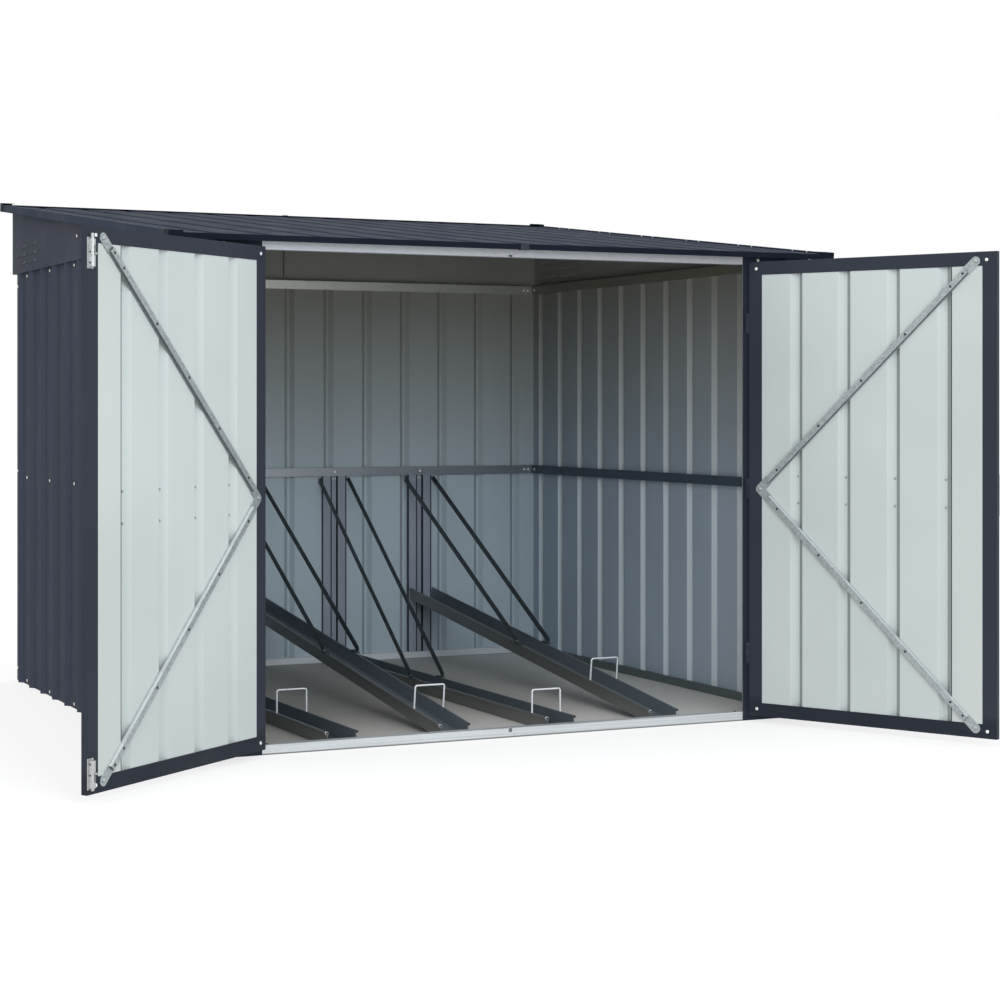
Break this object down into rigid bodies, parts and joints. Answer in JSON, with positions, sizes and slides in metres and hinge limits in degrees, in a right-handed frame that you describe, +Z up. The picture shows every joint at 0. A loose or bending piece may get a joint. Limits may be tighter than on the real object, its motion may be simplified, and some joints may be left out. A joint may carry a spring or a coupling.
{
  "type": "bike shelter",
  "caption": "Sheet-metal bike shelter with a pent roof rising to the back, ribbed walls, a pair of outward-hinged doors with slide bolts, and wheel channels inside.",
  "frame": {"origin": "on the ground at the middle of the footprint, between the front sheets and the back wall", "axes": "+X to the right seen from the front, +Y from the front to the back, +Z up"},
  "size_m": [2.329, 2.3622, 1.5064],
  "materials": {
    "anthracite": "satin",
    "pale_sheet": "satin",
    "galvanised": "satin",
    "rack_paint": "satin",
    "floor": "matte"
  },
  "bodies": {
    "shed": {"front_threshold": "galvanised", "rear_floor_rail": "galvanised", "left_floor_rail": "galvanised", "right_floor_rail": "galvanised", "floor_panel": "floor", "front_left_jamb": "anthracite", "front_right_jamb": "anthracite", "front_left_panel": "anthracite", "front_right_panel": "anthracite", "corner_angles": "anthracite", "left_wall": "anthracite", "right_wall": "anthracite", "back_wall": "anthracite", "left_mid_rail": "galvanised", "right_mid_rail": "galvanised", "back_mid_rail": "galvanised", "left_top_rail": "galvanised", "right_top_rail": "galvanised", "back_top_rail": "galvanised", "front_lintel": "galvanised", "left_gable": "anthracite", "right_gable": "anthracite", "back_top_panels": "anthracite", "roof_sheet": "anthracite", "roof_front_trim": "anthracite", "roof_rear_trim": "anthracite", "roof_left_trim": "anthracite", "roof_right_trim": "anthracite", "roof_corner_caps": "anthracite", "trim_joiners": "anthracite", "rack_channel_1": "rack_paint", "rack_channel_2": "rack_paint", "rack_channel_3": "rack_paint", "rack_channel_4": "rack_paint", "rack_uprights": "rack_paint", "rack_struts": "rack_paint", "wheel_hoops": "galvanised", "left_hinge_brackets": "anthracite", "right_hinge_brackets": "anthracite"},
    "left_door": {"left_door_frame": "anthracite", "left_door_sheet": "pale_sheet", "left_door_braces": "galvanised", "left_door_band": "anthracite", "left_hinge_leaves": "anthracite", "left_door_knob": "galvanised", "bolt_guides": "galvanised"},
    "right_door": {"right_door_frame": "anthracite", "right_door_sheet": "pale_sheet", "right_door_braces": "galvanised", "right_door_band": "anthracite", "right_hinge_leaves": "anthracite"},
    "top_bolt": {"top_bolt": "galvanised"},
    "bottom_bolt": {"bottom_bolt": "galvanised"}
  },
  "joints": [
    {"name": "left_door_hinge", "type": "hinge", "parent": "shed", "child": "left_door", "pos_m": [-0.711, -0.853, 0.638], "axis": [0, 0, -1], "range_deg": [-143.4, 21.6]},
    {"name": "right_door_hinge", "type": "hinge", "parent": "shed", "child": "right_door", "pos_m": [0.711, -0.853, 0.638], "axis": [0, 0, 1], "range_deg": [-118.5, 46.5]},
    {"name": "top_bolt_slide", "type": "slide", "parent": "left_door", "child": "top_bolt", "axis": [0, 0, 1], "range_m": [0, 0.016]},
    {"name": "bottom_bolt_slide", "type": "slide", "parent": "left_door", "child": "bottom_bolt", "axis": [0, 0, -1], "range_m": [0, 0.016]}
  ]
}
